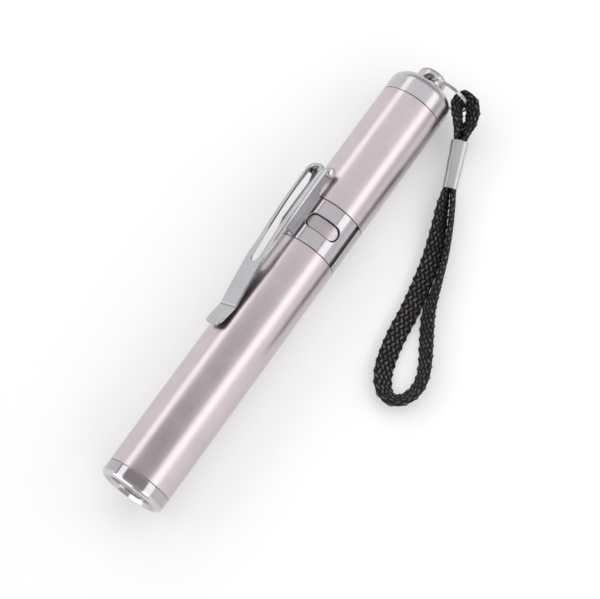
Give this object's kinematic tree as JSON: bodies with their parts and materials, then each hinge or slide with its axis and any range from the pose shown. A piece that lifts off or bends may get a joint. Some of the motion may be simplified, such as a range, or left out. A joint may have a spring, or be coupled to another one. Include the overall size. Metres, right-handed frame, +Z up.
{
  "type": "penlight",
  "caption": "Slim metal penlight with a push button in its waist band, a hinged pocket clip, a pull-off tail over a charging plug, and a braided wrist strap on a ring.",
  "frame": {"origin": "on the surface that the penlight lies on, under the middle of its length, on the line of its axis", "axes": "+X along the barrel, the way the beam goes; +Z up from the surface; +Y toward the wrist strap"},
  "size_m": [0.1099, 0.0448, 0.0165],
  "materials": {
    "chrome_trim": "polished",
    "brushed_tube": "brushed",
    "lens_clear": "polished",
    "gasket_rubber": "matte",
    "reflector_bright": "mirror polished",
    "emitter": "gloss",
    "emitter_board": "white coated",
    "sink_metal": "satin",
    "insulator": "matte",
    "contact_brass": "satin",
    "cell_wrap": "shrink wrapped",
    "dark_plastic": "matte",
    "spring_steel": "bright",
    "board_green": "lacquered",
    "sleeve_metal": "satin",
    "button_steel": "brushed",
    "plug_metal": "bright",
    "tongue_plastic": "matte",
    "braid": "woven",
    "ferrule_metal": "satin"
  },
  "bodies": {
    "barrel": {"bezel": "chrome_trim", "lens": "lens_clear", "lens_gasket": "gasket_rubber", "reflector": "reflector_bright", "led_emitter": "emitter", "led_board": "emitter_board", "heat_sink": "sink_metal", "contact_washer": "insulator", "front_contact": "contact_brass", "head_tube": "brushed_tube", "battery_cell": "cell_wrap", "cell_sleeve": "dark_plastic", "cell_spring": "spring_steel", "spring_plate": "board_green", "waist_sleeve": "sleeve_metal", "charge_board": "board_green", "switch_body": "dark_plastic", "plug_collar": "dark_plastic", "plug_shell": "plug_metal", "plug_tongue": "tongue_plastic", "plug_contacts": "contact_brass", "grip_ring": "gasket_rubber", "clip_band": "chrome_trim", "clip_pin": "spring_steel"},
    "button": {"power_button": "button_steel", "switch_stem": "dark_plastic"},
    "clip": {"pocket_clip": "chrome_trim"},
    "cap": {"tail_tube": "brushed_tube", "tail_cap": "chrome_trim"},
    "ring": {"split_ring": "chrome_trim", "strap_eye": "braid", "ferrule": "ferrule_metal", "strap_loop": "braid"}
  },
  "joints": [
    {"name": "button_press", "type": "slide", "parent": "barrel", "child": "button", "axis": [0, -0.1736, -0.9848], "range_m": [0, 0.0004], "stiffness_N_per_m": 1500},
    {"name": "clip_open", "type": "hinge", "parent": "barrel", "child": "clip", "pos_m": [-0.02098, -0.00583, 0.01283], "axis": [0, -0.7071, -0.7071], "range_deg": [0, 9], "stiffness_Nm_per_rad": 1},
    {"name": "cap_pull", "type": "slide", "parent": "barrel", "child": "cap", "axis": [-1, 0, 0], "range_m": [0, 0.026]},
    {"name": "ring_swing", "type": "hinge", "parent": "cap", "child": "ring", "pos_m": [-0.05119, 0, 0.007], "axis": [0, 0, 1], "range_deg": [0, 150]}
  ]
}
